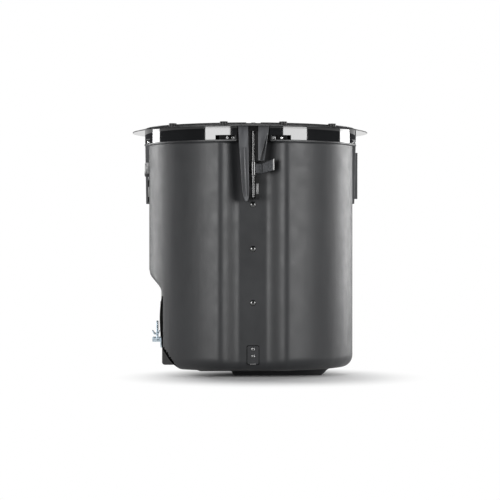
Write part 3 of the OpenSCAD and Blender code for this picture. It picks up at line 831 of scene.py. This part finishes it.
def screw_ring(name, node, radius, at_r, base, turns):
    """Cross-head screws around the drum's axis, in the place of one CAD node."""
    head, cutter = cross_head(radius, 2.2)
    heads, recesses = Shape(), Shape()
    for a in turns:
        at = turn(a) @ Matrix.Translation((at_r, 0, base))
        heads.add(head, at)
        recesses.add(cutter, at)
    settle(cut(heads.build(name, [fastener_black]), recesses), "housing", "black_rivet", node)


def panel_screws():
    panel_turns = [side + offset for side in SIDES.values() for offset in (25, 65)]
    screw_ring("panel_screw_heads", "baffle_screws", 4.0, 138.0, PANEL_TOP, panel_turns)
    woofer_turns = [22.5 + 45 * i for i in range(8)]
    screw_ring("woofer_screw_heads", "woofer_screws", 3.6, 102.5, PANEL_TOP + 2.5, woofer_turns)


# ---------------- clamps
def clamp_guide(side):
    """Moulding that guides a clamp: a long fin, a short fin and the plate behind them."""
    a = turn(SIDES[side])
    top = high("clamp_guide_" + side).z
    face, back = -FIN_FACE, -GUIDE_BACK
    long_fin = [(-21.2, top), (-7.3, top), (-6, 260), (-6.6, 248.5), (-8, 245), (-9.6, 244), (-11.6, 245.5),
                (-13.4, 250), (-15.4, 260)]
    short_fin = [(6.5, top), (21.6, top), (15, 300), (6.5, 300)]
    back_plate = [(-21.2, top), (21.6, top), (15, 300), (-18.3, 300)]
    taper = 1.6

    def fin(outline):
        near = [(x, face + taper * (top - z) / 100, z) for x, z in outline]
        return loft(near, [(x, back, z) for x, z in outline])

    shape = Shape().add(fin(long_fin), a).add(fin(short_fin), a)
    shape.add(front_plate(back_plate, back - 2, back), a)
    guide = shape.build("clamp_guide_moulding_" + side, [guide_black])
    hollows = Shape()
    hollows.add(front_plate([(8.6, 301.4), (13.6, 301.4), (18.2, 333)], face - 3, face + 5), a)
    hollows.add(front_plate([(-12.9, 318), (-11.9, 318), (-9.4, 252), (-10.6, 251)], face - 3, face + 2.6), a)
    cut(guide, hollows)
    soften(guide, 0.45, SMOOTH_ANGLE, 2)
    settle(guide, "housing", "guide_black", "clamp_guide_" + side)


def clamp_screw(side):
    """Threaded rod with a pointed end, and its pan head above the boss."""
    at = on_screw_axis(side)
    body = "clamp_screw_" + side
    base = BEZEL_UNDER + 4.1
    shape = Shape()
    shape.add(threaded_rod(2.5, 0.16, 1.25, SCREW_END + 1.2, base + 0.05), at)
    shape.add(lathe([(0, SCREW_END), (1.6, SCREW_END), (2.2, SCREW_END + 1.3), (0, SCREW_END + 1.3)], 24), at)
    settle(shape.build("threaded_rod_" + side, [screw_steel]), body, "clamp_steel", body)
    head, cutter = cross_head(4.5, 3.0)
    lift = at @ Matrix.Translation((0, 0, base))
    pan = cut(Shape().add(head, lift).build("pan_head_" + side, [screw_steel]), Shape().add(cutter, lift))
    settle(pan, body, "clamp_steel")


def clamp_follower(side):
    """Two blocks on the screw, joined by a bar, that carry the arm between them."""
    at = on_screw_axis(side)
    body = "clamp_nut_" + side
    z0, z1 = heights(body)
    blocks = Shape()
    outline = [(-4.5, -0.8), (3.2, -0.8), (3.2, -4), (8.4, -4), (8.4, 3.5), (-4.5, 3.5)]
    blocks.add(prism(outline, z1 - 9.4, z1), at)
    blocks.add(prism(outline, z0, z0 + 7.5), at)
    bore = Shape().add(rod(2.56, z0 - 5, z1 + 5), at)
    pair = cut(blocks.build("follower_blocks_" + side, [follower_black], 0.5), bore)
    settle(pair, body, "follower_black", body)
    bar = Shape().add(block((4.3, 7.0), (-3.3, -0.6), (z0 + 7, z1 - 9)), at)
    settle(bar.build("follower_bar_" + side, [dark_steel], 0.3), body, "clamp_steel")


def clamp_arm(side):
    """Dog-leg arm with a steel tip, on a rolled sleeve around the screw."""
    at = on_screw_axis(side)
    body = "clamp_arm_" + side
    z = ARM_Z
    outline = [(3.2, -3), (10.8, -3), (13.0, -8.4), (27.0, -8.6), (27.0, -2), (14.4, -2), (12.4, 3), (3.2, 3)]
    ramp = Vector((12.5, 28.7))

    def under(x, y):
        return z + 4 * max(0.0, x - ramp[0]) / (ramp[1] - ramp[0])

    def over(x, y):
        return z + 13 + 7 * max(0.0, x - ramp[0]) / (ramp[1] - ramp[0])

    casting = Shape().add(prism(outline, under, over), at)
    settle(casting.build("arm_casting_" + side, [arm_casting], 0.5, 3), body, "arm_casting", body)
    tip_outline = [(26.9, -8.6), (28.2, -8.6), (28.7, -8.0), (28.7, -2), (26.9, -2)]
    tip = Shape().add(prism(tip_outline, under, over), at)
    settle(tip.build("arm_tip_" + side, [dark_steel], 0.4, 3), body, "arm_casting")
    sleeve = [(2.62, z - 3), (3.5, z - 3), (3.75, z - 2.7), (3.75, z + 15.7), (3.5, z + 16), (2.62, z + 16)]
    slit = 14
    rolled = Shape().add(lathe(sleeve, 40, -90 + slit, 270 - slit), at)
    settle(rolled.build("arm_sleeve_" + side, [sleeve_steel], 0.1), body, "clamp_steel")


# ---------------- woofer, port and knob
def basket_frame():
    """Pressed flange and dish, with six windows between the spokes."""
    wall, top = BASKET_R - 14, PANEL_TOP
    flange = [
        (wall - 2, 316.5), (wall, 315.5), (wall, top), (BASKET_R - 0.6, top), (BASKET_R, top + 0.6),
        (BASKET_R, top + 1.9), (BASKET_R - 0.6, top + 2.5), (wall + 1, top + 2.5), (wall - 2, top + 2.0)
    ]
    dish = [(58, 288), (wall, 315), (wall, 316), (wall - 2, 316.5), (56.5, 291), (30, 291), (30, 288)]
    frame_ring = Shape().add(lathe(flange, 200)).add(lathe(dish, 200))
    windows = Shape()
    for i in range(6):
        windows.add(block((50, 110), (-20, 20), (295, 325)), turn(i * 60))
    pressed_ring = cut(frame_ring.build("basket_frame", [basket_paint]), windows)
    settle(pressed_ring, "housing", "basket_steel", "basket")


def foam_ring():
    top = PANEL_TOP
    profile = [
        (92, top + 3.5), (98.5, top + 3.5), (98.5, top + 5.0), (98.1, top + 5.3), (92.4, top + 5.3),
        (92, top + 5)
    ]
    ring = Shape().add(lathe(profile, 200))
    settle(ring.build("foam_ring", [gasket_foam]), "housing", "gasket_foam", "basket_gasket")


def surround():
    """Half-roll between the cone and the basket, with a lip glued to each."""
    outer = high("surround").x
    middle = (CONE_R + (BASKET_R - 16.2)) / 2
    roll = (BASKET_R - 16.2 - CONE_R) / 2 - 0.4
    thin = roll - 0.9
    base, lip_z, seat_z = 337.5, 333.05, PANEL_TOP + 2.55
    steps = np.linspace(0, math.pi, 25)
    over_arc = [(middle - roll * math.cos(t), base + roll * math.sin(t)) for t in steps]
    under_arc = [(middle + thin * math.cos(t), base + thin * math.sin(t)) for t in steps]
    profile = [
        (middle - roll - 3, lip_z), (middle - roll - 3, lip_z + 0.9), (middle - roll - 0.2, lip_z + 1.0),
        *over_arc[:-1], (middle + roll, seat_z + 0.85), (outer, seat_z + 0.85), (outer, seat_z),
        (middle + roll - 0.9, seat_z), *under_arc[1:], (middle - roll + 0.9, lip_z)
    ]
    rolled = Shape().add(lathe(profile, 200))
    settle(rolled.build("surround_roll", [surround_rubber]), "housing", "surround_rubber", "surround")


def cone():
    """Curved paper cone, from the neck at the voice coil to the surround."""
    neck = 25.4
    curve = [(neck + (CONE_R - 3.5 - neck) * t, 303 + 30 * t**0.86) for t in np.linspace(0, 1, 14)]
    lower = [(r + 1.6, z - 1.25) for r, z in reversed(curve[:-1])]
    skin = [*curve, (CONE_R, 333.0), (CONE_R, 331.8), (CONE_R - 2, 331.8), *lower]
    shape = Shape().add(lathe(skin, 200))
    settle(shape.build("cone_skin", [cone_fibre]), "cone_assembly", "cone_fibre", "cone")


def dust_cap():
    """Thin cap cut from a ball, over the middle of the cone."""
    rim_z, ball, sink = 306.0, 42.0, 276.0
    rim = math.acos((rim_z - sink) / ball)
    over = [(ball * math.sin(t), sink + ball * math.cos(t)) for t in np.linspace(rim, 0, 16)]
    over[-1] = (0.0, over[-1][1])
    inner = [(max(0.0, r - 0.5), z - 0.8) for r, z in reversed(over)]
    dome_shape = Shape().add(lathe([*over, *inner], 120))
    settle(dome_shape.build("dust_dome", [cap_black]), "cone_assembly", "cap_black", "dust_cap")


def port():
    """Port tube with a rounded lip on the panel."""
    bore = 15.0
    lip = [
        (bore, 262), (bore + 2, 262), (bore + 2, PANEL_TOP), (bore + 3.2, PANEL_TOP),
        (bore + 3.2, PANEL_TOP + 1.2), (bore + 2.6, PANEL_TOP + 1.9), (bore + 1.6, PANEL_TOP + 2),
        (bore + 0.4, PANEL_TOP + 1.2), (bore, PANEL_TOP - 1)
    ]
    tube = Shape().add(lathe(lip, 96), Matrix.Translation(port_centre()))
    settle(tube.build("port_duct", [panel_black]), "housing", "port_black", "port_tube")


def knob():
    """Fluted knob of the tap switch, with a slit that shows its setting."""
    z0, z1 = PANEL_TOP + 0.4, high("tap_knob").z
    middle = (low("tap_knob") + high("tap_knob")) / 2
    at = Matrix.Translation((middle.x, middle.y, 0))
    outline = []
    for i in range(96):
        a = 2 * math.pi * i / 96
        r = 9.0 - 0.5 * (0.5 + 0.5 * math.cos(24 * a))
        outline.append((r * math.cos(a), r * math.sin(a)))
    cap = Shape().add(prism(outline, z0, z1), at)
    cap.add(rod(3, low("tap_knob").z, z0 + 0.2), at)
    slit = Shape().add(block((-0.7, 0.7), (2, 11), (z1 - 1, z1 + 2)), at @ turn(45))
    shaped = cut(cap.build("knob_cap", [panel_black], 0.35), slit)
    settle(shaped, "tap_knob", "port_black", "tap_knob")


# ---------------- terminal side
def terminal_cover():
    """Bowed cover plate over the terminals, with a hole for the cable clamp and four screws."""
    z0, z1 = heights("terminal_cover")
    x0, x1 = low("terminal_cover").x, high("terminal_cover").x
    rise = x1 - x0
    radius = (z1 - z0) ** 2 / (8 * rise) + rise / 2

    def surface(z):
        return x0 + radius - math.sqrt(radius**2 - (z - (z0 + z1) / 2) ** 2)

    bow = [(surface(z), z) for z in np.linspace(z0, z1, 25)]
    shape = Shape().add(front_plate([*bow, (x1, z1), (x1, z0)], -45, 45))
    hole = Shape().add(rod(15, -9, 9, 64), towards_left(x1, 0, CABLE_Z))
    plate = cut(shape.build("terminal_plate", [cover_paint], 0.3), hole)
    settle(plate, "housing", "cover_black", "terminal_cover")

    heads, recesses = Shape(), Shape()
    head, cutter = cross_head(3.2, 0.9)
    for y in (-40, 40):
        for z in (56, 101):
            at = towards_left(surface(z) + 0.3, y, z)
            heads.add(head, at)
            recesses.add(cutter, at)
    screws = cut(heads.build("cover_screw_heads", [fastener_black]), recesses)
    settle(screws, "housing", "black_rivet", "cover_screws")


def terminal_box():
    """Wedge under the cover that fills the chamfer of the can."""
    z0, z1 = heights("terminal_box")
    x0, x1 = low("terminal_box").x, high("terminal_box").x
    corner = 4.0
    steps = np.linspace(0, math.pi / 2, 8)
    arc = [(x0 + corner - corner * math.cos(t), z0 + corner - corner * math.sin(t)) for t in steps]
    wedge = Shape().add(front_plate([*arc, (x1, z0), (x0, z1)], -45, 45))
    settle(wedge.build("terminal_wedge", [box_paint], 0.8, 3), "housing", "box_grey", "terminal_box")


def cable_clamp_body():
    """Round flange on the cover, and a half-round trough with an ear at each side."""
    wall = -TERMINAL_X
    inner, outer = 4.6, 6.0
    lip = [(inner, -6), (8, -6), (8, 0), (14.4, 0), (14.4, 1.9), (13.7, 2.6), (inner, 2.6)]
    ring = Shape().add(lathe(lip, 72), towards_left(wall, 0, CABLE_Z))
    settle(ring.build("clamp_flange", [zinc]), "housing", "zinc_cast", "cable_clamp_body")
    ear = 13.5
    top, under = CABLE_Z + 1, CABLE_Z - 1.5
    steps = np.linspace(math.pi, 2 * math.pi, 17)
    arc_out = [(outer * math.cos(t), CABLE_Z + outer * math.sin(t)) for t in steps]
    arc_in = [(inner * math.cos(t), CABLE_Z + inner * math.sin(t)) for t in reversed(steps)]
    left = [(-ear, top), (-ear, under), *[p for p in arc_out if p[1] < under]]
    outline = [*left, (ear, under), (ear, top), (inner, top), *arc_in, (-inner, top)]
    x0, x1 = -141.6, wall - 2.5
    trough = Shape().add(loft([(x0, y, z) for y, z in outline], [(x1, y, z) for y, z in outline]))
    pressed_trough = cut(trough.build("clamp_trough", [zinc], 0.3), strap_holes(1.75))
    settle(pressed_trough, "housing", "zinc_cast")


def strap_holes(radius):
    """Cutters for the holes that the two strap screws pass through."""
    holes = Shape()
    for y in (-10, 10):
        holes.add(rod(radius, 30, 80, 24), Matrix.Translation((STRAP_X, y, 0)))
    return holes


def cable_strap():
    """Saddle strap with turned-up lips."""
    base = low("cable_clamp_strap").z
    side_view = [
        (-139, base), (-132, base), (-130.6, base + 5.4), (-131.9, base + 5.4), (-133, base + 1.5),
        (-138, base + 1.5), (-140.8, base + 5.4), (-142, base + 5.4)
    ]
    strap = Shape().add(front_plate(side_view, -13.4, 13.4)).build("saddle_strap", [zinc], 0.35)
    settle(cut(strap, strap_holes(1.68)), "cable_strap", "zinc_cast", "cable_clamp_strap")


def cable_screw(name, y):
    """Strap screw, head down, with its thread standing above the strap."""
    node = "cable_clamp_screw_" + name
    at = Matrix.Translation((STRAP_X, y, 0))
    z0, z1 = heights(node)
    thread = Shape().add(threaded_rod(1.6, 0.2, 0.8, z0 + 2.3, z1 - 0.4), at)
    thread.add(lathe([(0, z1 - 0.45), (1.4, z1 - 0.45), (1.0, z1), (0, z1)], 20), at)
    settle(thread.build("cable_screw_rod_" + name, [zinc]), "cable_screw_" + name, "zinc_cast", node)
    flip = at @ Matrix.Translation((0, 0, z0 + 2.4)) @ Matrix.Rotation(math.pi, 4, "X")
    head = Shape().add(lathe(dome(3.0, 2.3), 32), flip)
    slit = Shape().add(block((-4, 4), (-0.4, 0.4), (1.3, 4)), flip)
    settle(cut(head.build("cable_screw_head_" + name, [zinc]), slit), "cable_screw_" + name, "zinc_cast")


# ---------------- CAD nodes that keep their shape
CARRIED = {
    "can_brackets": bright_steel, "safety_eye": fastener_black, "rim_gasket": gasket_foam,
    "rim_tabs": cover_paint, "voice_coil": copper_wire, "spider": spider_cloth, "top_plate": bright_steel,
    "ferrite_magnet": ferrite, "yoke": bright_steel, "acoustic_lining": lining_felt,
    "tap_switch": switch_grey, "transformer_core": core_iron, "transformer_coil": copper_wire,
    "transformer_bracket": bright_steel, "crossover_board": board_green, "inductor": copper_wire,
    "capacitors": sleeve_blue, "inner_leads": lead_red, "terminal_block": block_green,
}


def carried_nodes():
    """Gives the CAD nodes that stay as they are a material and soft edges."""
    for name, material in CARRIED.items():
        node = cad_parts[name]
        node.data.materials.clear()
        node.data.materials.append(material)
        soften(node, 0.25, math.radians(50))


# ---------------- stage, lights and camera
def stage():
    """A white table: near the object it is lit grey with real shadows, and away from it it fades to a plain
    white glow; the fade, centred just in front of the object, paints a contact shadow.
    """
    bpy.ops.mesh.primitive_plane_add(size=24, location=(0, 0, 0))
    floor = bpy.context.object
    floor.name = "floor"
    m = Nodes("floor_painted_shadow", Roughness=0.5, Specular_IOR_Level=0.2)
    m.colour_from(m.colours(m.noise(3, 2), grey(0.66), grey(0.68)))
    # painted contact shadow: the floor stops glowing within 75 to 225 mm of a point just in front of and
    # right of the object
    distance = m.add("ShaderNodeVectorMath", operation="DISTANCE")
    distance.inputs[1].default_value = (0.025, -0.11, 0)
    m.link(m.place, distance.inputs[0])
    far = m.add("ShaderNodeMapRange", interpolation_type="SMOOTHSTEP")
    far.inputs["From Min"].default_value = 0.075
    far.inputs["From Max"].default_value = 0.225
    m.link(distance.outputs["Value"], far.inputs["Value"])
    plain = m.add("ShaderNodeEmission")
    mix = m.add("ShaderNodeMixShader")
    m.link(far.outputs["Result"], mix.inputs["Fac"])
    m.link(m.shader.outputs["BSDF"], mix.inputs[1])
    m.link(plain.outputs["Emission"], mix.inputs[2])
    m.link(mix.outputs["Shader"], m.tree.nodes["Material Output"].inputs["Surface"])
    floor.data.materials.append(m.material)


def softbox(name, azimuth, distance, height, size, power, colour=(1, 1, 1), aim=0.2):
    """A rectangular light, azimuth degrees from the camera's side and turned to the object."""
    data = bpy.data.lights.new(name, "AREA")
    data.shape = "RECTANGLE"
    data.size, data.size_y = size
    data.energy = power
    data.color = colour
    light = bpy.data.objects.new(name, data)
    a = math.radians(azimuth)
    light.location = (distance * math.sin(a), -distance * math.cos(a), height)
    towards = Vector((0, 0, aim)) - light.location
    light.rotation_euler = towards.to_track_quat("-Z", "Y").to_euler()
    bpy.context.scene.collection.objects.link(light)


def lights():
    """Two soft boxes in front, two behind and one above; only the camera sees the world white."""
    softbox("softbox_left", -35.5, 2.0, 0.42, (0.95, 1.04), 40)
    softbox("softbox_right", 46, 2.0, 0.42, (0.95, 1.04), 38)
    softbox("strip_left", -121.5, 2.2, 0.6, (0.62, 1.2), 27.5)
    softbox("strip_right", 121, 2.2, 0.6, (0.9, 1.2), 37)
    softbox("overhead", 180, 0.9, 2.4, (2.4, 1.0), 44, aim=0.0)
    world = bpy.data.worlds.new("studio")
    bpy.context.scene.world = world
    world.use_nodes = True
    tree = world.node_tree
    ambient = tree.nodes["Background"]
    ambient.inputs["Color"].default_value = (0.9, 0.95, 1.0, 1)
    ambient.inputs["Strength"].default_value = 0.08
    backdrop = tree.nodes.new("ShaderNodeBackground")
    backdrop.inputs["Color"].default_value = (1, 1, 1, 1)
    seen = tree.nodes.new("ShaderNodeLightPath")
    mix = tree.nodes.new("ShaderNodeMixShader")
    tree.links.new(seen.outputs["Is Camera Ray"], mix.inputs["Fac"])
    tree.links.new(ambient.outputs["Background"], mix.inputs[1])
    tree.links.new(backdrop.outputs["Background"], mix.inputs[2])
    tree.links.new(mix.outputs["Shader"], tree.nodes["World Output"].inputs["Surface"])


def camera():
    """Level, long-lens camera just left of straight ahead."""
    data = bpy.data.cameras.new("camera")
    data.lens = 134.8
    data.sensor_width = 36
    eye = bpy.data.objects.new("camera", data)
    distance, azimuth, height = 2.72, math.radians(-1.8), 0.1773
    eye.location = (distance * math.sin(azimuth), -distance * math.cos(azimuth), height)
    eye.rotation_euler = (math.radians(90), 0, azimuth)
    bpy.context.scene.collection.objects.link(eye)
    bpy.context.scene.camera = eye
    bpy.context.scene.view_settings.view_transform = "Standard"


camera()
back_can()
rim_band()
rivets()
tab_plates()
bezel()
grille_ridge()
collar()
pockets()
panel()
collar_fasteners()
grille_magnets()
panel_screws()
for one_side in SIDES:
    clamp_guide(one_side)
    clamp_screw(one_side)
    clamp_follower(one_side)
    clamp_arm(one_side)
basket_frame()
foam_ring()
surround()
cone()
dust_cap()
port()
knob()
terminal_cover()
terminal_box()
cable_clamp_body()
cable_strap()
cable_screw("a", 10)
cable_screw("b", -10)
carried_nodes()
stage()
lights()
